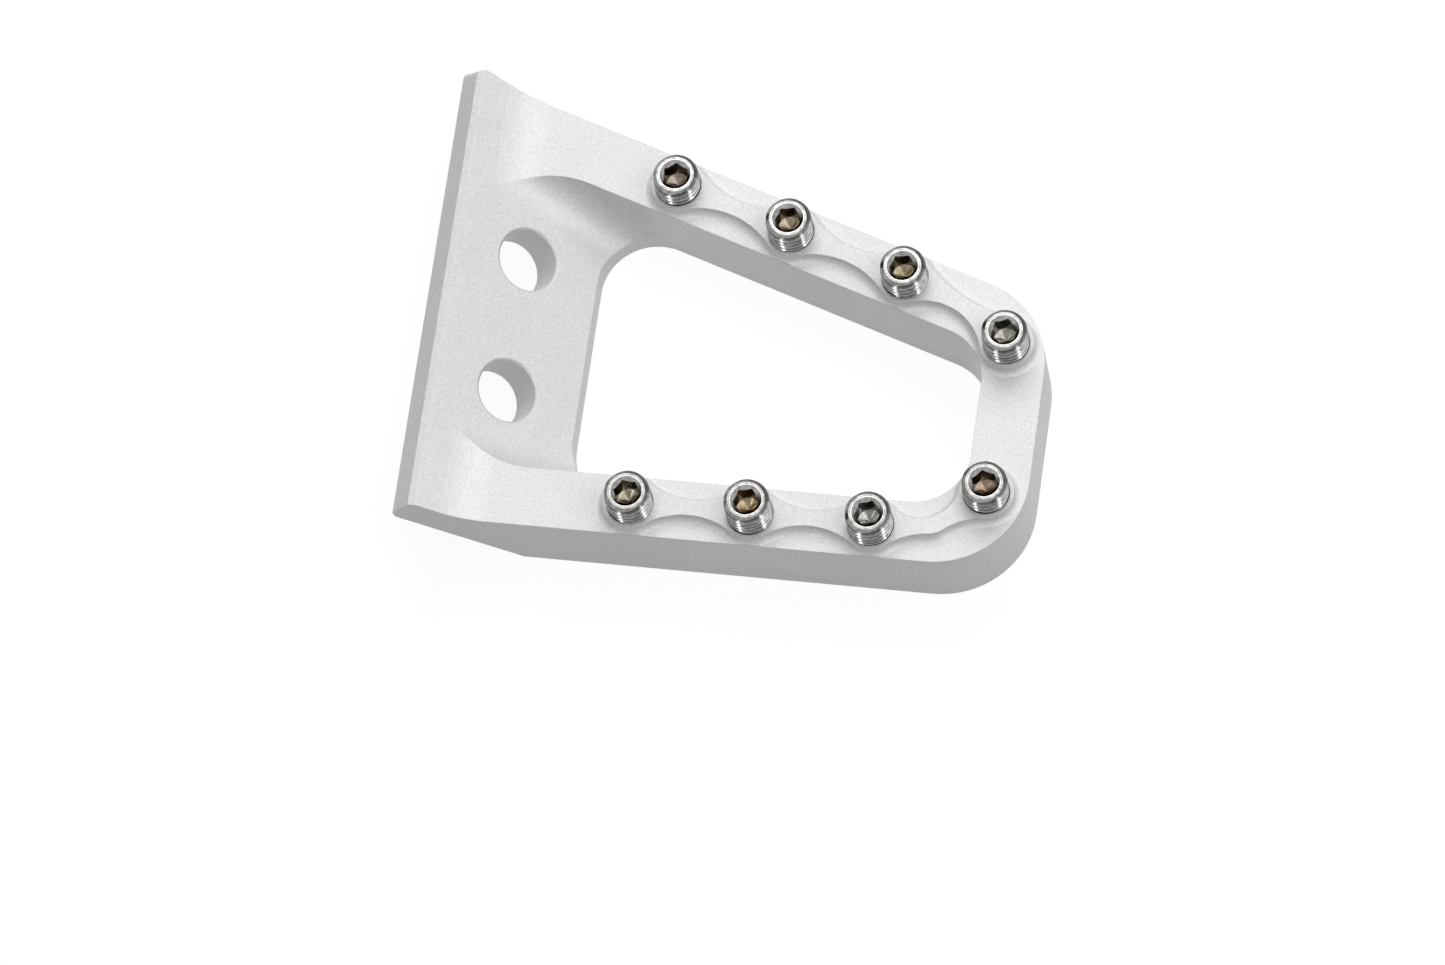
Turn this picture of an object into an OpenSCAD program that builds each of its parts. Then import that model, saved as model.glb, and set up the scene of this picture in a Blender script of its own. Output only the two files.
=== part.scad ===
// Step plate of a motorcycle's rear brake lever. One machined loop of aluminium carries eight set
// screws as grip studs, and a tilted flange at its left end is bolted to the lever's arm.
// The loop lies flat on Z = 0 with its tread up. +X runs along the lower bar, from the flange to the
// free end. The origin is under the middle of the whole plate.

/* [Loop] */
// Depth of the bars, from the flat underside to the tread
bar_depth = 11.9; // [11.5:0.1:14]
// Width of each bar in plan
bar_width = 7.9; // [7.6:0.1:9]
// Length of the loop, from the bend line at the flange to the free end
loop_length = 72.2; // [70:0.2:84]
// Width over the two bars at the free end, up to the square corner
end_width = 35.9; // [34:0.1:44]
// Angle in plan between the two long bars
splay_angle = 18.1; // [12:0.1:20]
// Radius of the two outer corners at the free end
outer_corner_r = 12; // [8:0.5:13]
// Radius of the four corners of the window
window_corner_r = 7.2; // [5:0.1:8]
// Distance from the bend line to the window
window_start = 11.3; // [10:0.1:14]

/* [Flange] */
// Tilt of the flange from the tread
flange_tilt = 34.9; // [30:0.1:38]
// Thickness of the flange
flange_thickness = 6; // [5.4:0.1:7]
// Length of the flange's face above the bend line
flange_length = 7.5; // [6:0.1:12]
// Radius of the concave blend between each bar's tread and the flange's face
bend_blend_r = 9.4; // [5:0.1:12]
// Bevel on the top edge of the flange's end
end_bevel_top = 0.7; // [0.3:0.1:1.2]
// Bevel on the bottom edge of the flange's end
end_bevel_bottom = 0.9; // [0.3:0.1:1.5]
// Radius of the flange's upper corner
flange_corner_r = 1; // [0.5:0.1:3]
// Radius of the fillet along the lower edge of the pocket
pocket_fillet_low = 4.4; // [3:0.1:5.5]
// Radius of the fillet along the upper edge of the pocket
pocket_fillet_high = 4.8; // [3:0.1:5.5]

/* [Bolt holes] */
// Diameter of the two bolt holes, which clear an M8 screw
bolt_hole_d = 8.2; // [8.2:0.1:9]
// Distance between the two bolt holes
bolt_spacing = 18.4; // [16:0.1:22]
// Distance from the lower outer wall to the lower bolt hole
bolt_low_y = 19; // [16:0.1:21]
// Distance from the bend line to the bolt holes, down the flange's face
bolt_drop = 3.6; // [1:0.1:5]
// Bevel at both mouths of each bolt hole
bolt_mouth_bevel = 0.3; // [0.1:0.1:0.6]

/* [Stud rows] */
// Distance between the studs along X
stud_pitch = 15.6; // [15:0.1:16.5]
// Distance along X between the last two studs of each row
corner_pitch = 14.2; // [13.5:0.1:15]
// Distance from the free end to the two corner studs
corner_inset = 5.15; // [4.6:0.05:5.6]
// Sideways step of the lower corner stud from the lower bar's centre line
low_corner_step = 5.7; // [4.5:0.1:6.5]
// Sideways step of the upper corner stud from the upper bar's centre line
high_corner_step = 3; // [2.5:0.1:4]
// Sideways shift of the neck at the lower corner, toward the outer wall
low_neck_shift = 2.3; // [1.5:0.1:2.4]
// Sideways shift of the neck at the upper corner, toward the outer wall
high_neck_shift = 1; // [0.5:0.1:1.5]

/* [Stud lands] */
// Height of the raised lands over the tread
land_height = 1.4; // [1:0.1:2]
// Radius of the round boss at each stud
land_boss_r = 3.55; // [3.45:0.05:3.8]
// Width of the necks between the bosses
neck_width = 2.1; // [1.4:0.1:3]
// Depth of the shallow dips in the outer wall of the lower corner's neck
low_neck_dip = 0.6; // [0.3:0.1:0.8]
// Radius of the concave fillet at the foot of the lands
land_fillet_r = 1.05; // [0.5:0.05:1.4]

/* [Grip studs] */
// Thread diameter of the studs
stud_d = 6; // [5.6:0.1:6.2]
// Length of each stud
stud_length = 16; // [10:0.5:16]
// Diameter of the flat ring on top of each stud
stud_crown_d = 4.85; // [4.6:0.05:5.2]
// Width of the hexagon socket across its flats
socket_flats = 3; // [2.5:0.1:3.2]
// Depth of the hexagon socket
socket_depth = 3.2; // [2:0.1:4]
// Diameter of the countersink at the socket's mouth
socket_mouth_d = 4.1; // [3.8:0.05:4.3]
// Depth of the drill's cone under the socket
socket_drill = 0.6; // [0.3:0.1:1]
// Diameter of the cup at the stud's lower end
cup_d = 3; // [2:0.1:3.6]
// Radial gap between a stud's thread and its tapped hole
thread_gap = 0.02; // [0.01:0.01:0.05]
// Height of stud 1 over its land
stud_1_rise = 3.5; // [2.5:0.1:5.5]
// Height of stud 2 over its land
stud_2_rise = 4.3; // [2.5:0.1:5.5]
// Height of stud 3 over its land
stud_3_rise = 3.9; // [2.5:0.1:5.5]
// Height of stud 4 over its land
stud_4_rise = 4.3; // [2.5:0.1:5.5]
// Height of stud 5 over its land
stud_5_rise = 4; // [2.5:0.1:5.5]
// Height of stud 6 over its land
stud_6_rise = 4.8; // [2.5:0.1:5.5]
// Height of stud 7 over its land
stud_7_rise = 4.3; // [2.5:0.1:5.5]
// Height of stud 8 over its land
stud_8_rise = 3.7; // [2.5:0.1:5.5]

/* [Hidden] */
$fn = 96;
// Length by which every cutting body runs past the metal
over = 5;
// A length that is longer than the whole plate
far = 200;

// Directions of the flange: up along its face, and out of its face
slope_dir = [-cos(flange_tilt), 0, sin(flange_tilt)];
face_dir = [sin(flange_tilt), 0, cos(flange_tilt)];
// Direction out of the upper bar's outer wall
upper_dir = [sin(splay_angle), cos(splay_angle), 0];

// Everything is drawn with the bend line at X = 0 and the lower outer wall at Y = 0, then shifted
bend = [0, 0, bar_depth];
upper_outer = upper_dir * [loop_length, end_width, 0];
upper_inner = upper_outer - bar_width;
upper_middle = upper_outer - bar_width / 2;
function upper_y(level, x) = (level - upper_dir.x * x) / upper_dir.y;

// Leftmost edge of the flange, at the top of its lower bevel
bevel_edge = bend + slope_dir * flange_length - face_dir * (flange_thickness - end_bevel_bottom);
// Upright edge at the flange's upper corner: a point on it, its direction and its rounding's middle
corner_x_top = slope_dir.x * flange_length;
corner_point = [corner_x_top, upper_y(upper_outer, corner_x_top),
                bar_depth + slope_dir.z * flange_length];
corner_edge = cross(slope_dir, upper_dir) / norm(cross(slope_dir, upper_dir));
corner_middle = -(slope_dir + upper_dir) * flange_corner_r / (1 + slope_dir * upper_dir);
// Backmost point of the plate, on that rounding and at the lower bevel
back_dir = [0, 1, 0] - corner_edge.y * corner_edge;
back_line = corner_point + corner_middle + flange_corner_r * back_dir / norm(back_dir);
bevel_dir = slope_dir - face_dir;
back_point = back_line
    + corner_edge * (bevel_dir * (bevel_edge - back_line)) / (bevel_dir * corner_edge);
// Shift that sets the origin under the middle of the plate
shift = [-(loop_length + bevel_edge.x) / 2, -back_point.y / 2];

// Middle of each stud in plan, in the order of the studs
corner_x = loop_length - corner_inset;
row_x = [corner_x - corner_pitch - 2 * stud_pitch, corner_x - corner_pitch - stud_pitch,
         corner_x - corner_pitch];
low_middle = bar_width / 2;
stud_xy = concat(
    [for (x = row_x) [x, upper_y(upper_middle, x)]],
    [[corner_x, upper_y(upper_middle - high_corner_step, corner_x)]],
    [for (x = row_x) [x, low_middle]],
    [[corner_x, low_middle + low_corner_step]]);
stud_rises = [stud_1_rise, stud_2_rise, stud_3_rise, stud_4_rise,
              stud_5_rise, stud_6_rise, stud_7_rise, stud_8_rise];
tapped_r = stud_d / 2 + thread_gap;
stud_bevel = (stud_d - stud_crown_d) / 2;

// The lands reach this far down into the bars
root = 1;
// Smooth surfaces that meet are set this far into each other, so that they cross cleanly
hair = 0.02;
land_top = land_height + hair;
touch_r = land_boss_r - 2 * hair;

// Convex outline with each corner rounded to its own radius, 0 for a sharp corner
module rounded_outline(points, radii) {
    n = len(points);
    corners = [for (i = [0:n - 1])
        let (v = points[i],
             a = (points[(i + n - 1) % n] - v) / norm(points[(i + n - 1) % n] - v),
             b = (points[(i + 1) % n] - v) / norm(points[(i + 1) % n] - v),
             half = acos(a * b) / 2,
             reach = radii[i] / tan(half),
             middle = v + (a + b) / norm(a + b) * radii[i] / sin(half))
        [v + a * reach, v + b * reach, middle, radii[i]]];
    polygon([for (c = corners) each (c[3] > 0 ? [c[0], c[1]] : [c[0]])]);
    for (c = corners)
        if (c[3] > 0)
            translate(c[2]) circle(c[3]);
}

// Outer outline of the plate in plan, running past the flange's end, or a little inside its walls
module plan_outline(inset = 0) {
    tail = bevel_edge.x - over;
    end_x = loop_length - inset;
    level = upper_outer - inset;
    r = outer_corner_r - inset;
    rounded_outline(
        [[tail, inset], [end_x, inset], [end_x, upper_y(level, end_x)], [tail, upper_y(level, tail)]],
        [0, r, r, 0]);
}

// Space between the bars in plan, or a little outside it, with its own start and corners on the left
module inner_outline(start, start_r, inset = 0) {
    low = bar_width - inset;
    end_x = loop_length - bar_width + inset;
    level = upper_inner + inset;
    r = window_corner_r + inset;
    rounded_outline(
        [[start, low], [end_x, low], [end_x, upper_y(level, end_x)], [start, upper_y(level, start)]],
        [start_r, r, r, start_r]);
}

// Side view of the plate: the loop's slab, the flange and the concave blend between them
module side_profile() {
    up = [slope_dir.x, slope_dir.z];
    out = [face_dir.x, face_dir.z];
    corner = [0, bar_depth];
    tip = corner + up * flange_length;
    foot = tip - out * flange_thickness;
    heel = (bar_depth * cos(flange_tilt) - flange_thickness) / sin(flange_tilt);
    reach = bend_blend_r * tan(flange_tilt / 2);
    difference() {
        polygon([[loop_length + over, 0], [heel, 0],
                 foot - up * end_bevel_bottom, foot + out * end_bevel_bottom,
                 tip - out * end_bevel_top, tip - up * end_bevel_top,
                 corner + up * reach, corner + [reach, 0], [loop_length + over, bar_depth]]);
        translate([reach, bar_depth + bend_blend_r] + (out + [0, 1]) * hair / 2) circle(bend_blend_r);
    }
}

// Wedge between a floor along +X and a wall at the given angle from it, with a fillet in its corner
module filleted_wedge(angle, r) {
    reach = r / tan(angle / 2);
    polygon([[reach, 0], [far, 0], [far, far], far * [cos(angle), sin(angle)],
             reach * [cos(angle), sin(angle)]]);
    translate([reach, r]) circle(r);
}

// Places a shape drawn in X and Y so that its X, Y and Z lie along the three given directions
module along(origin, x_dir, y_dir, z_dir) {
    multmatrix([[x_dir.x, y_dir.x, z_dir.x, origin.x],
                [x_dir.y, y_dir.y, z_dir.y, origin.y],
                [x_dir.z, y_dir.z, z_dir.z, origin.z]])
        children();
}

// Pocket that carries the flange's face down between the bars into the window
module pocket() {
    wall_edge = cross(face_dir, upper_dir) / norm(cross(face_dir, upper_dir));
    inward = cross(face_dir, wall_edge);
    wall_angle = acos(face_dir * upper_dir);
    low_foot = [0, bar_width + hair, bar_depth];
    high_foot = [0, upper_y(upper_inner - hair, 0), bar_depth];
    reach = window_start + 2 * window_corner_r;
    intersection() {
        along(low_foot, [0, 1, 0], face_dir, -slope_dir)
            linear_extrude(far, center = true) filleted_wedge(90, pocket_fillet_low);
        along(high_foot, inward, face_dir, wall_edge)
            linear_extrude(far, center = true) filleted_wedge(wall_angle, pocket_fillet_high);
        translate([reach - far, 0, -far / 2]) cube(far);
    }
}

// The two bolt holes, square to the flange, with a bevel at each mouth
module bolt_holes() {
    middle = bend - slope_dir * bolt_drop;
    r = bolt_hole_d / 2;
    for (y = [bolt_low_y, bolt_low_y + bolt_spacing])
        translate(middle + [0, y, 0])
            rotate([0, flange_tilt, 0]) {
                translate([0, 0, -flange_thickness - over])
                    cylinder(h = flange_thickness + 2 * over, r = r);
                translate([0, 0, -bolt_mouth_bevel])
                    cylinder(h = bolt_mouth_bevel * 2, r1 = r, r2 = r + bolt_mouth_bevel * 2);
                translate([0, 0, -flange_thickness - bolt_mouth_bevel])
                    cylinder(h = bolt_mouth_bevel * 2, r1 = r + bolt_mouth_bevel * 2, r2 = r);
            }
}

// Rounds the upright edge at the flange's upper corner
module flange_corner_cut() {
    side = cross(corner_edge, slope_dir);
    flat = function (p) [p * slope_dir, p * side];
    m = flat(corner_middle);
    r = flange_corner_r;
    along(corner_point, slope_dir, side, corner_edge)
        linear_extrude(far, center = true)
            difference() {
                polygon([m, m + [r + 1, 0], -m / r, m + flat(upper_dir) * (r + 1)]);
                translate(m) circle(r);
            }
}

// Round boss of a land, with its flared foot
module land_boss() {
    r = land_boss_r;
    f = land_fillet_r;
    translate([0, 0, bar_depth - hair])
        rotate_extrude()
            difference() {
                polygon([[0, -root], [r + f, -root], [r + f, f], [r, f], [r, land_top], [0, land_top]]);
                translate([r + f, f]) circle(f);
            }
}

// Radius of the scallop that meets two bosses a distance apart and leaves the given half width
function scallop_r(gap, half) =
    (gap * gap / 4 + half * half - touch_r * touch_r) / (2 * (touch_r - half));

// Middle of the scallop on the left of the way from a to b, or on its right if the side is -1
function scallop_middle(a, b, half, side) =
    (a + b) / 2
    + side * (scallop_r(norm(b - a), half) + half) * [a.y - b.y, b.x - a.x] / norm(b - a);

// Round cutter of a scallop, which leaves a concave fillet at its foot
module scallop(a, b, half, side) {
    r = scallop_r(norm(b - a), half);
    f = land_fillet_r;
    translate(concat(scallop_middle(a, b, half, side), bar_depth - hair))
        rotate_extrude() {
            polygon([[0, 0], [r - f, 0], [r - f, f], [r, f], [r, land_top + over], [0, land_top + over]]);
            translate([r - f, f]) circle(f);
        }
}

// Flat slab between two bosses, out to the middle of the scallop on one side
module neck_slab(a, b, half, side) {
    translate([0, 0, bar_depth - root])
        linear_extrude(root + land_height)
            polygon([a, b, scallop_middle(a, b, half, side)]);
}

// Neck between two bosses, with a half width on its left and one on its right
module neck(a, b, left, right) {
    difference() {
        union() {
            neck_slab(a, b, left, 1);
            neck_slab(a, b, right, -1);
        }
        scallop(a, b, left, 1);
        scallop(a, b, right, -1);
    }
}

// Neck at the lower corner: it follows the bend of the bar, beyond the line between its two bosses
module low_corner_neck(a, b) {
    middle = (a + b) / 2;
    inner = neck_width / 2 - low_neck_shift;
    dip = land_boss_r - low_neck_dip;
    difference() {
        union() {
            neck_slab(a, b, inner, 1);
            for (ends = [[a, middle], [middle, b]])
                difference() {
                    neck_slab(ends[0], ends[1], dip, -1);
                    scallop(ends[0], ends[1], dip, -1);
                }
            translate(middle) land_boss();
        }
        scallop(a, b, inner, 1);
    }
}

// The two raised lands: a boss at each stud, and scalloped necks that chain them
module lands() {
    half = neck_width / 2;
    for (xy = stud_xy)
        translate(xy) land_boss();
    for (i = [0, 1, 4, 5])
        neck(stud_xy[i], stud_xy[i + 1], half, half);
    neck(stud_xy[2], stud_xy[3], half + high_neck_shift, half - high_neck_shift);
    low_corner_neck(stud_xy[6], stud_xy[7]);
}

// A flat outline as a tall body that cuts or trims the plate
module tall() {
    translate([0, 0, -far / 2]) linear_extrude(far) children();
}

// The loop and the flange, without the lands
module bare_plate() {
    difference() {
        intersection() {
            translate([0, far, 0]) rotate([90, 0, 0]) linear_extrude(2 * far) side_profile();
            tall() plan_outline();
        }
        tall() inner_outline(window_start, window_corner_r);
        pocket();
        bolt_holes();
        flange_corner_cut();
    }
}

// The lands, trimmed a hair inside the walls of the bars
module trimmed_lands() {
    difference() {
        intersection() {
            lands();
            tall() plan_outline(hair);
        }
        tall() inner_outline(0, 0, hair);
    }
}

// The machined plate, with a tapped hole through it at each stud
module step_plate() {
    color("lightgray")
        difference() {
            union() {
                bare_plate();
                trimmed_lands();
            }
            for (xy = stud_xy)
                translate([xy.x, xy.y, -over]) cylinder(h = far, r = tapped_r);
        }
}

// Turned body of a set screw, with a bevel at each end, a cup below and a countersunk mouth on top
module stud_body() {
    r = stud_d / 2;
    mouth = socket_mouth_d / 2;
    mouth_depth = mouth - socket_flats / 2;
    rotate_extrude()
        polygon([[0, cup_d / 2], [cup_d / 2, 0], [r - stud_bevel, 0], [r, stud_bevel],
                 [r, stud_length - stud_bevel], [r - stud_bevel, stud_length],
                 [mouth, stud_length], [mouth - mouth_depth, stud_length - mouth_depth],
                 [0, stud_length - mouth_depth]]);
}

// One set screw, with its socket up and its cup down, standing at its place in the plate
module grip_stud(i) {
    top = bar_depth + land_height + stud_rises[i];
    color("silver")
        translate([stud_xy[i].x, stud_xy[i].y, top - stud_length])
            difference() {
                stud_body();
                translate([0, 0, stud_length - socket_depth])
                    cylinder(h = socket_depth + over, r = socket_flats / 2 / cos(30), $fn = 6);
                translate([0, 0, stud_length - socket_depth - socket_drill])
                    cylinder(h = socket_drill + hair, r1 = 0, r2 = socket_flats / 2);
            }
}

translate(shift) step_plate();
translate(shift) grip_stud(0);  // grip_stud_1
translate(shift) grip_stud(1);  // grip_stud_2
translate(shift) grip_stud(2);  // grip_stud_3
translate(shift) grip_stud(3);  // grip_stud_4
translate(shift) grip_stud(4);  // grip_stud_5
translate(shift) grip_stud(5);  // grip_stud_6
translate(shift) grip_stud(6);  // grip_stud_7
translate(shift) grip_stud(7);  // grip_stud_8
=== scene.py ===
"""Step plate of a motorcycle's rear brake lever: blasted aluminium with threaded steel studs."""

import math

import bmesh
import bpy
from mathutils import Euler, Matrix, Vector


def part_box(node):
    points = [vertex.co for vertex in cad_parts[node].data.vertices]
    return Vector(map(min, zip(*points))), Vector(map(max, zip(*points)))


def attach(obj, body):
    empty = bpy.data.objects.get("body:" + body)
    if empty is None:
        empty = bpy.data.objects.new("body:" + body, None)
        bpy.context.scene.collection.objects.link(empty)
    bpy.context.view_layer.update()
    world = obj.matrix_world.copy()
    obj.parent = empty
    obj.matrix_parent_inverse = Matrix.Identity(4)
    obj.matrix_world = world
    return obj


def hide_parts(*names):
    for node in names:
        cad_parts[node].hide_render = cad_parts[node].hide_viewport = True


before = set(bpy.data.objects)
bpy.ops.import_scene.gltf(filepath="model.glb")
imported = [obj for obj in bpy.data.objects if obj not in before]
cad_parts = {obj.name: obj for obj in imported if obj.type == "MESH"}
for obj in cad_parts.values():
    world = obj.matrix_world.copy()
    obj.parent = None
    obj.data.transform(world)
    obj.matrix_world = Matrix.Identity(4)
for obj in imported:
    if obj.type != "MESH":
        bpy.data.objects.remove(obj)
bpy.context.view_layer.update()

MM = 0.001
STUDS = [f"grip_stud_{number}" for number in range(1, 9)]

# Stud: sizes in millimetres, as M6 set screws have them
CROWN_R = 2.42
LIP_R = 2.2
MOUTH_R = 2.05
SOCKET_FLATS = 3.0
SOCKET_DEPTH = 3.2
SOCKET_CONE = 0.6
DRILL_R = 1.47
CUP_R = 1.5
CUP_DEPTH = 1.2
THREAD_PITCH = 1.0
THREAD_DEPTH = 0.52
CREST_WIDTH = 0.16
ROOT_WIDTH = 0.2

# Stud's mesh: sides of each ring, how far down a flank its middle row runs, how far the crests
# stay inside the solid, how far the mouth's lips are eased, and how close points fall together
SIDES = 96
FLANK_PART = 0.3
CREST_INSET = 0.01
MOUTH_EASE = 0.04
SOCKET_EASE = 0.01
SOCKET_LIP = 0.03
MERGE = 0.002

# Name of the colours that tint the steel, and how bright they leave each zone of a stud. Besides
# the sockets' tarnish they hold painted light: the crests, crown and chamfer are painted darker
# than bright steel in place of the dark studio that it mirrors, the roots carry painted shade, the
# mouth's ring a painted highlight, and the socket's walls painted light
PAINTED_LIGHT_AND_TARNISH = "painted_light_and_tarnish"
CREST_TINT = 0.34
ROOT_PAINTED_SHADE = 0.03
CROWN_TINT = 0.20
LIP_PAINTED_HIGHLIGHT = 0.62
CHAMFER_TINT = 0.40

# How fast the painted shade deepens below the crests, and how the socket's walls differ from its
# floor: painted light that leaves them brighter, and a greyer hue
THREAD_FADE = 0.45
WALL_PAINTED_LIGHT = 1.15
WALL_GREY = 0.4

# How far each socket is turned, in degrees, and the tarnish on its floor
SOCKET_TURNS = [4, 40, 40, 50, 26, 42, 46, 17]
SOCKET_TARNISH = [
    (0.246, 0.201, 0.168),
    (0.264, 0.219, 0.163),
    (0.254, 0.216, 0.145),
    (0.285, 0.275, 0.250),
    (0.250, 0.231, 0.175),
    (0.269, 0.213, 0.138),
    (0.270, 0.270, 0.250),
    (0.224, 0.175, 0.130),
]

# Plate: its grain and its clouds, in features per metre, and the grain's height and the radius of
# the edges in metres
GRAIN_SCALE = 2600.0
CLOUD_SCALE = 110.0
GRAIN_HEIGHT = 0.00006
EDGE_R = 0.00014

# Steel: its smudges, in features per metre, and their height in metres
SMUDGE_SCALE = 1500.0
SMUDGE_HEIGHT = 0.00003

# Floor: half its side and its drop below the plate, in metres, its grey for the light that it
# throws back, and the glow and grey that it shows, of which the grey takes the shadow
FLOOR_REACH = 3.0
FLOOR_DROP = 0.0002
FLOOR_GREY = 0.5
FLOOR_GLOW = 0.93
FLOOR_SHADE = 0.12

# Camera: a long lens above the tread, tipped toward the free end and the lower bar
CAMERA_PLACE = (154.255 * MM, -356.252 * MM, 916.71 * MM)
CAMERA_TURN = (21.0886, 6.634, 7.9634)
SENSOR_WIDTH = 36.0
LENS = 189.824

# Light: the dome's strength, then each lamp's place and size in metres and its power in watts.
# The strips are only mirrored, and throw no light on matt surfaces.
DOME = 0.13
LAMPS = {
    "back": ((0.0, 0.96, 1.28), (1.1, 1.1), 12.2),
    "right": ((0.96, 0.0, 1.28), (1.1, 1.1), 6.8),
    "overhead": ((0.0, 0.0, 1.3), (0.7, 0.7), 0.8),
    "front_strip": ((-0.326, -0.417, 0.53), (0.08, 0.36), 0.85),
    "right_strip": ((0.425, -0.309, 0.53), (0.08, 0.36), 0.85),
}


def add_node(tree, kind, inputs=None, **settings):
    """A shader node with its settings and the values or links of its inputs."""
    made = tree.nodes.new(kind)
    for name, value in settings.items():
        setattr(made, name, value)
    for name, value in (inputs or {}).items():
        if isinstance(value, bpy.types.NodeSocket):
            tree.links.new(value, made.inputs[name])
        else:
            made.inputs[name].default_value = value
    return made


def new_material(name):
    """An empty node material with its tree, Principled shader and object coordinates."""
    material = bpy.data.materials.new(name)
    material.use_nodes = True
    tree = material.node_tree
    shader = tree.nodes["Principled BSDF"]
    place = add_node(tree, "ShaderNodeTexCoord").outputs["Object"]
    return material, tree, shader, place


def ramp(tree, factor, stops):
    """A colour ramp through the given places and grey or coloured stops."""
    made = add_node(tree, "ShaderNodeValToRGB", {"Fac": factor})
    elements = made.color_ramp.elements
    while len(elements) < len(stops):
        elements.new(0.5)
    for element, (place, colour) in zip(elements, stops):
        element.position = place
        element.color = (*colour, 1.0)
    return made.outputs["Color"]


def noise(tree, place, scale, detail, roughness):
    """A noise of the given number of features per metre."""
    inputs = {"Vector": place, "Scale": scale, "Detail": detail, "Roughness": roughness}
    return add_node(tree, "ShaderNodeTexNoise", inputs).outputs["Fac"]


def product(tree, first, second):
    """The product of two colours."""
    made = tree.nodes.new("ShaderNodeMix")
    made.data_type = "RGBA"
    made.blend_type = "MULTIPLY"
    made.inputs[0].default_value = 1.0
    tree.links.new(first, made.inputs[6])
    tree.links.new(second, made.inputs[7])
    return made.outputs[2]


def blasted_aluminium():
    """Matt silver of a bead-blasted, clear anodised plate, with a fine speckle."""
    material, tree, shader, place = new_material("plate_aluminium")
    grain = noise(tree, place, GRAIN_SCALE, 3.0, 0.6)
    cloud = noise(tree, place, CLOUD_SCALE, 2.0, 0.5)
    fine = ramp(tree, grain, [(0.32, (0.69, 0.70, 0.695)), (0.68, (0.81, 0.815, 0.81))])
    broad = ramp(tree, cloud, [(0.35, (0.97, 0.97, 0.97)), (0.65, (1.0, 1.0, 1.0))])
    colour = product(tree, fine, broad)
    bump = add_node(
        tree, "ShaderNodeBump", {"Height": grain, "Strength": 0.35, "Distance": GRAIN_HEIGHT}
    )
    edge = add_node(tree, "ShaderNodeBevel", {"Radius": EDGE_R}, samples=6)
    tree.links.new(edge.outputs["Normal"], bump.inputs["Normal"])
    tree.links.new(colour, shader.inputs["Base Color"])
    tree.links.new(bump.outputs["Normal"], shader.inputs["Normal"])
    shader.inputs["Metallic"].default_value = 0.3
    shader.inputs["Roughness"].default_value = 0.58
    return material


def bright_steel():
    """Bright plated steel, painted darker where it mirrors the studio, with painted shade in the
    roots, painted light on the lip and socket walls, and tarnish in the sockets.
    """
    material, tree, shader, place = new_material("stud_steel")
    smudge = noise(tree, place, SMUDGE_SCALE, 4.0, 0.5)
    plating = ramp(tree, smudge, [(0.36, (0.60, 0.59, 0.57)), (0.62, (1.0, 0.995, 0.985))])
    # The vertex colours hold painted shade, a painted highlight and painted light, and the
    # sockets' tarnish.
    painted_light_and_tarnish = add_node(tree, "ShaderNodeVertexColor", layer_name=PAINTED_LIGHT_AND_TARNISH).outputs["Color"]
    rough = add_node(
        tree, "ShaderNodeMapRange", {"Value": smudge, "To Min": 0.10, "To Max": 0.22}
    ).outputs["Result"]
    bump = add_node(
        tree, "ShaderNodeBump", {"Height": smudge, "Strength": 0.15, "Distance": SMUDGE_HEIGHT}
    )
    tree.links.new(product(tree, plating, painted_light_and_tarnish), shader.inputs["Base Color"])
    tree.links.new(rough, shader.inputs["Roughness"])
    tree.links.new(bump.outputs["Normal"], shader.inputs["Normal"])
    shader.inputs["Metallic"].default_value = 1.0
    return material


def thread_profile():
    """Places along one pitch, each with its depth under the crest, both in millimetres."""
    flank = (THREAD_PITCH - CREST_WIDTH - ROOT_WIDTH) / 2
    return [
        (0.0, 0.0),
        (CREST_WIDTH, 0.0),
        (CREST_WIDTH + FLANK_PART * flank, FLANK_PART * THREAD_DEPTH),
        (CREST_WIDTH + flank, THREAD_DEPTH),
        (THREAD_PITCH - flank, THREAD_DEPTH),
        (THREAD_PITCH - FLANK_PART * flank, FLANK_PART * THREAD_DEPTH),
    ]


def hexagon_r(turn):
    """Distance from the socket's middle to its wall, in the direction of an angle."""
    across = (turn + math.pi / 6) % (math.pi / 3) - math.pi / 6
    return SOCKET_FLATS / 2 / math.cos(across)


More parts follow.
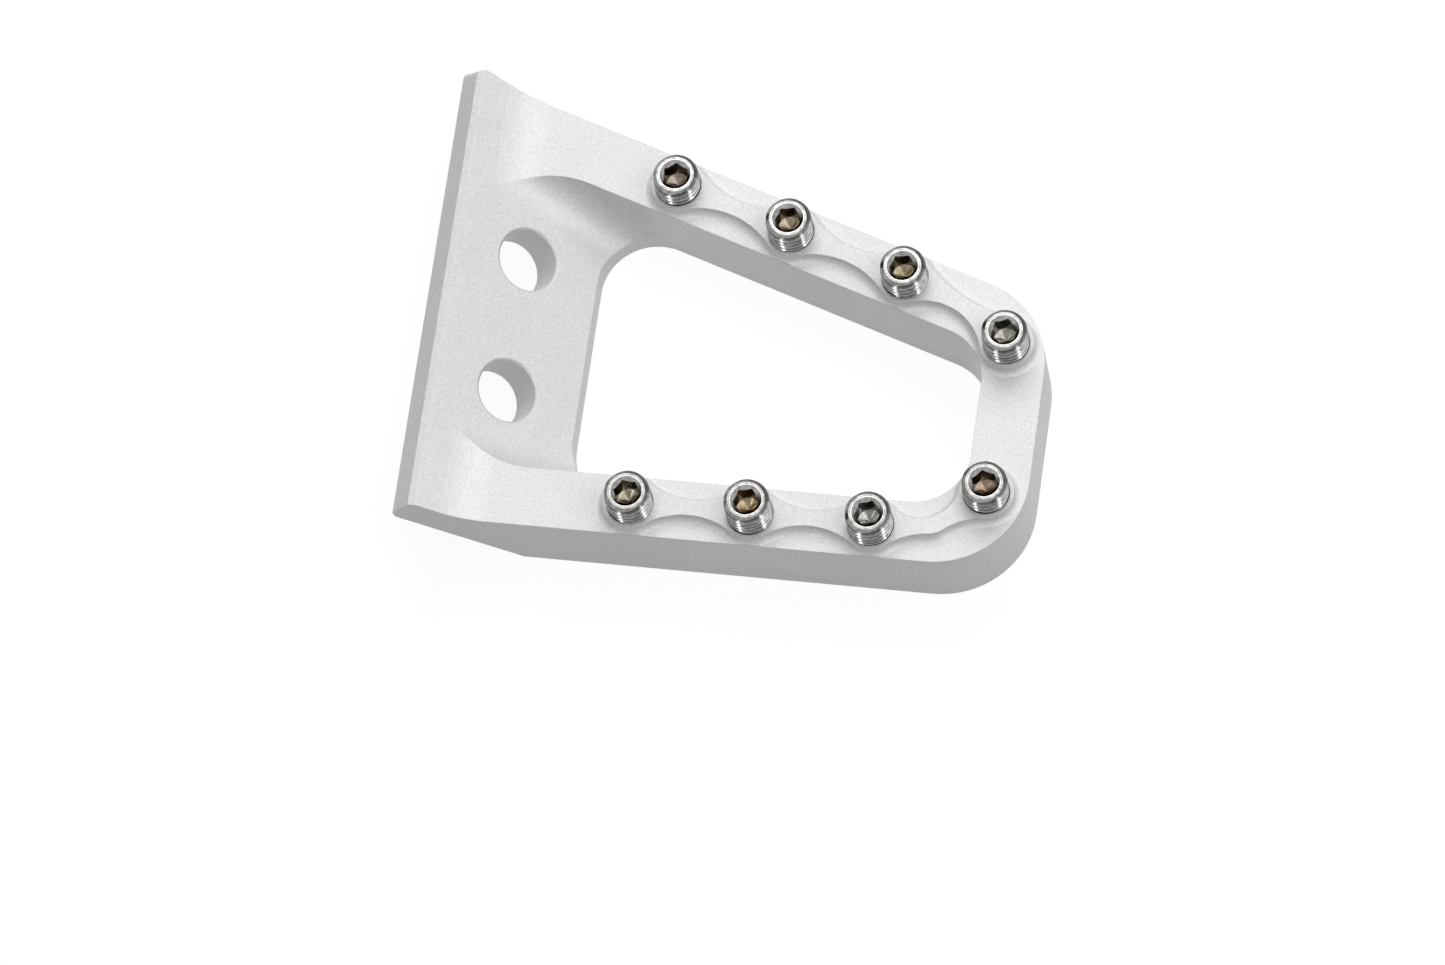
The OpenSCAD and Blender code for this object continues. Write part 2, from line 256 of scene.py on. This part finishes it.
class RingMesh:
    """Points, tints and faces of a body that is built of rings round one upright axis."""

    def __init__(self, x, y):
        self.x, self.y = x, y
        self.verts, self.tints, self.faces = [], [], []

    def point(self, x, y, z, tint):
        """One point, in millimetres from the axis and the floor, with a grey or coloured tint."""
        self.verts.append(((self.x + x) * MM, (self.y + y) * MM, z * MM))
        self.tints.append(tint if isinstance(tint, tuple) else (tint, tint, tint))
        return len(self.verts) - 1

    def ring(self, radius, height, tint):
        """One ring. Each of the three is a value or a function of the angle."""
        first = len(self.verts)
        for side in range(SIDES):
            turn = 2 * math.pi * side / SIDES
            r, z, shade = (v(turn) if callable(v) else v for v in (radius, height, tint))
            self.point(r * math.cos(turn), r * math.sin(turn), z, shade)
        return first

    def skin(self, *rings):
        """Faces from each ring to the next."""
        for lower, upper in zip(rings, rings[1:]):
            for side in range(SIDES):
                after = (side + 1) % SIDES
                self.faces.append((lower + side, lower + after, upper + after, upper + side))

    def fan(self, rim, tip):
        """Faces from a ring to one point."""
        self.faces.extend((rim + side, rim + (side + 1) % SIDES, tip) for side in range(SIDES))

    def coil(self, rows, pitch_rows):
        """Faces of rows that climb one pitch, so many rows, each time round."""
        for lower, upper in zip(rows, rows[1:]):
            for side in range(SIDES - 1):
                a, b = lower + side, upper + side
                self.faces.append((a, a + 1, b + 1, b))
        for row in range(len(rows) - 1 - pitch_rows):
            a, b = rows[row + pitch_rows], rows[row + pitch_rows + 1]
            c, d = rows[row] + SIDES - 1, rows[row + 1] + SIDES - 1
            self.faces.append((c, a, b, d))

    def mesh(self, name):
        """The Blender mesh, with its points joined and its faces turned outward."""
        made = bpy.data.meshes.new(name)
        made.from_pydata(self.verts, [], self.faces)
        painted_light_and_tarnish = made.color_attributes.new(PAINTED_LIGHT_AND_TARNISH, "FLOAT_COLOR", "POINT")
        for element, tint in zip(painted_light_and_tarnish.data, self.tints):
            element.color = (*tint, 1.0)
        work = bmesh.new()
        work.from_mesh(made)
        bmesh.ops.remove_doubles(work, verts=work.verts, dist=MERGE * MM)
        bmesh.ops.recalc_face_normals(work, faces=work.faces)
        work.to_mesh(made)
        work.free()
        return made


def add_thread(body, base, length, crest_r):
    """The helical thread, which runs out into the bevels at both ends."""

    def edge_r(height):
        return min(crest_r, CROWN_R + height, CROWN_R + length - height)

    def thread_row(start, depth):
        """Radius, height and tint of one row of points, as functions of the angle."""

        def height(turn):
            return min(max(start + THREAD_PITCH * turn / (2 * math.pi), 0.0), length)

        def radius(turn):
            return min(crest_r - depth, edge_r(height(turn)))

        # Painted shade: the tint falls from the crest's tone, itself painted darker in place of
        # the dark studio, to the root's near black.
        def tint(turn):
            sunk = (edge_r(height(turn)) - radius(turn)) / THREAD_DEPTH
            fade = max(min(sunk, 1.0), 0.0) ** THREAD_FADE
            return CREST_TINT + (ROOT_PAINTED_SHADE - CREST_TINT) * fade

        return radius, lambda turn: base + height(turn), tint

    rows = []
    profile = thread_profile()
    for coil in range(-1, math.ceil(length / THREAD_PITCH) + 1):
        for along, depth in profile:
            rows.append(body.ring(*thread_row(coil * THREAD_PITCH + along, depth)))
    body.coil(rows, len(profile))


def add_socket(body, top, socket_turn, tarnish):
    """The crown, and the countersunk hexagon socket down to the drill's cone."""
    grey = sum(tarnish) / len(tarnish)
    # The walls take the floor's tarnish, greyed, with painted light that leaves them brighter than
    # the floor where the deep socket gets little light.
    wall = tuple(WALL_PAINTED_LIGHT * (c + WALL_GREY * (grey - c)) for c in tarnish)
    floor = top - SOCKET_DEPTH

    def socket_r(turn):
        return hexagon_r(turn - math.radians(socket_turn))

    def lip(turn):
        return top - (MOUTH_R - socket_r(turn))

    # The crown and the chamfer are painted darker than bright steel in place of the dark studio
    # they mirror, and the mouth's ring carries a painted highlight.
    rings = [
        body.ring(CROWN_R, top, CROWN_TINT),
        body.ring(LIP_R, top, CROWN_TINT),
        body.ring(MOUTH_R, top, LIP_PAINTED_HIGHLIGHT),
        body.ring(MOUTH_R - MOUTH_EASE, top - MOUTH_EASE, CHAMFER_TINT),
        body.ring(
            lambda turn: socket_r(turn) + SOCKET_EASE,
            lambda turn: lip(turn) + SOCKET_EASE,
            CHAMFER_TINT,
        ),
        body.ring(socket_r, lambda turn: lip(turn) - SOCKET_LIP, wall),
        body.ring(socket_r, floor, wall),
        body.ring(DRILL_R, floor, tarnish),
    ]
    body.skin(*rings)
    body.fan(rings[-1], body.point(0, 0, floor - SOCKET_CONE, tarnish))


def stud_mesh(name, box, socket_turn, tarnish):
    """One set screw: a true helical thread, a bevelled crown, a hexagon socket and a cup point."""
    (low_x, low_y, base), (high_x, high_y, top) = ([c / MM for c in corner] for corner in box)
    body = RingMesh((low_x + high_x) / 2, (low_y + high_y) / 2)
    add_thread(body, base, top - base, (high_x - low_x) / 2 - CREST_INSET)
    add_socket(body, top, socket_turn, tarnish)
    rim = body.ring(CUP_R, base, CREST_TINT)
    body.skin(rim, body.ring(CROWN_R, base, CREST_TINT))
    body.fan(rim, body.point(0, 0, base + CUP_DEPTH, CREST_TINT))
    return body.mesh(name)


def make_studs(material):
    """Dresses each stud's solid with its threaded form."""
    for node, turn, tarnish in zip(STUDS, SOCKET_TURNS, SOCKET_TARNISH):
        name = node.replace("grip_stud", "threaded_stud")
        mesh = stud_mesh(name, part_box(node), turn, tarnish)
        mesh.materials.append(material)
        piece = bpy.data.objects.new(name, mesh)
        bpy.context.scene.collection.objects.link(piece)
        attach(piece, "root")
        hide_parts(node)


def dress_plate(material):
    """Gives the plate's solid its blasted finish."""
    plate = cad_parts["step_plate"]
    plate.data.materials.clear()
    plate.data.materials.append(material)


def make_lights():
    """Soft boxes behind, beside and over the plate, and two strips that streak the threads."""
    for name, (place, (width, height), power) in LAMPS.items():
        data = bpy.data.lights.new(name, "AREA")
        data.shape = "RECTANGLE"
        data.size = width
        data.size_y = height
        data.energy = power
        lamp = bpy.data.objects.new(name, data)
        lamp.visible_diffuse = not name.endswith("strip")
        lamp.location = place
        lamp.rotation_euler = (-Vector(place)).to_track_quat("-Z", "Y").to_euler()
        bpy.context.scene.collection.objects.link(lamp)


def shown_white(tree):
    """1 for rays that show the background, mirrored ones too, and 0 for those that light."""
    rays = add_node(tree, "ShaderNodeLightPath").outputs
    mirrored = add_node(tree, "ShaderNodeMath", operation="MAXIMUM")
    tree.links.new(rays["Is Glossy Ray"], mirrored.inputs[0])
    tree.links.new(rays["Is Transmission Ray"], mirrored.inputs[1])
    seen = add_node(tree, "ShaderNodeMath", operation="MAXIMUM")
    tree.links.new(rays["Is Camera Ray"], seen.inputs[0])
    tree.links.new(mirrored.outputs[0], seen.inputs[1])
    return seen.outputs[0]


def make_world():
    """A faint even dome that shows as white behind the object."""
    world = bpy.data.worlds.new("studio")
    bpy.context.scene.world = world
    world.use_nodes = True
    tree = world.node_tree
    background = tree.nodes["Background"]
    background.inputs["Color"].default_value = (1.0, 1.0, 1.0, 1.0)
    strength = add_node(tree, "ShaderNodeMix", {"Factor": shown_white(tree), "A": DOME, "B": 1.0})
    tree.links.new(strength.outputs["Result"], background.inputs["Strength"])


def make_floor():
    """A floor that is grey to light, and that shows as white with a faint shadow."""
    far = FLOOR_REACH
    corners = [(-far, -far, 0), (far, -far, 0), (far, far, 0), (-far, far, 0)]
    mesh = bpy.data.meshes.new("floor")
    mesh.from_pydata(corners, [], [(0, 1, 2, 3)])
    floor = bpy.data.objects.new("floor", mesh)
    floor.location.z = -FLOOR_DROP
    bpy.context.scene.collection.objects.link(floor)
    material = bpy.data.materials.new("floor")
    material.use_nodes = True
    tree = material.node_tree
    tree.nodes.remove(tree.nodes["Principled BSDF"])
    seen = shown_white(tree)
    matt = add_node(tree, "ShaderNodeBsdfDiffuse", {"Color": (*[FLOOR_GREY] * 3, 1.0)})
    faint = add_node(tree, "ShaderNodeBsdfDiffuse", {"Color": (*[FLOOR_SHADE] * 3, 1.0)})
    glow = add_node(tree, "ShaderNodeEmission", {"Strength": FLOOR_GLOW})
    lit = add_node(tree, "ShaderNodeAddShader")
    tree.links.new(faint.outputs[0], lit.inputs[0])
    tree.links.new(glow.outputs[0], lit.inputs[1])
    chosen = add_node(tree, "ShaderNodeMixShader", {"Fac": seen})
    tree.links.new(matt.outputs[0], chosen.inputs[1])
    tree.links.new(lit.outputs[0], chosen.inputs[2])
    tree.links.new(chosen.outputs[0], tree.nodes["Material Output"].inputs["Surface"])
    mesh.materials.append(material)


def make_camera():
    """The photograph's view."""
    data = bpy.data.cameras.new("camera")
    data.sensor_width = SENSOR_WIDTH
    data.lens = LENS
    data.clip_start = 0.05
    data.clip_end = 20.0
    camera = bpy.data.objects.new("camera", data)
    camera.location = CAMERA_PLACE
    camera.rotation_euler = Euler([math.radians(a) for a in CAMERA_TURN], "XYZ")
    bpy.context.scene.collection.objects.link(camera)
    bpy.context.scene.camera = camera


bpy.context.scene.view_settings.view_transform = "Standard"
make_camera()
make_world()
make_floor()
make_lights()
dress_plate(blasted_aluminium())
make_studs(bright_steel())

bpy.context.view_layer.update()
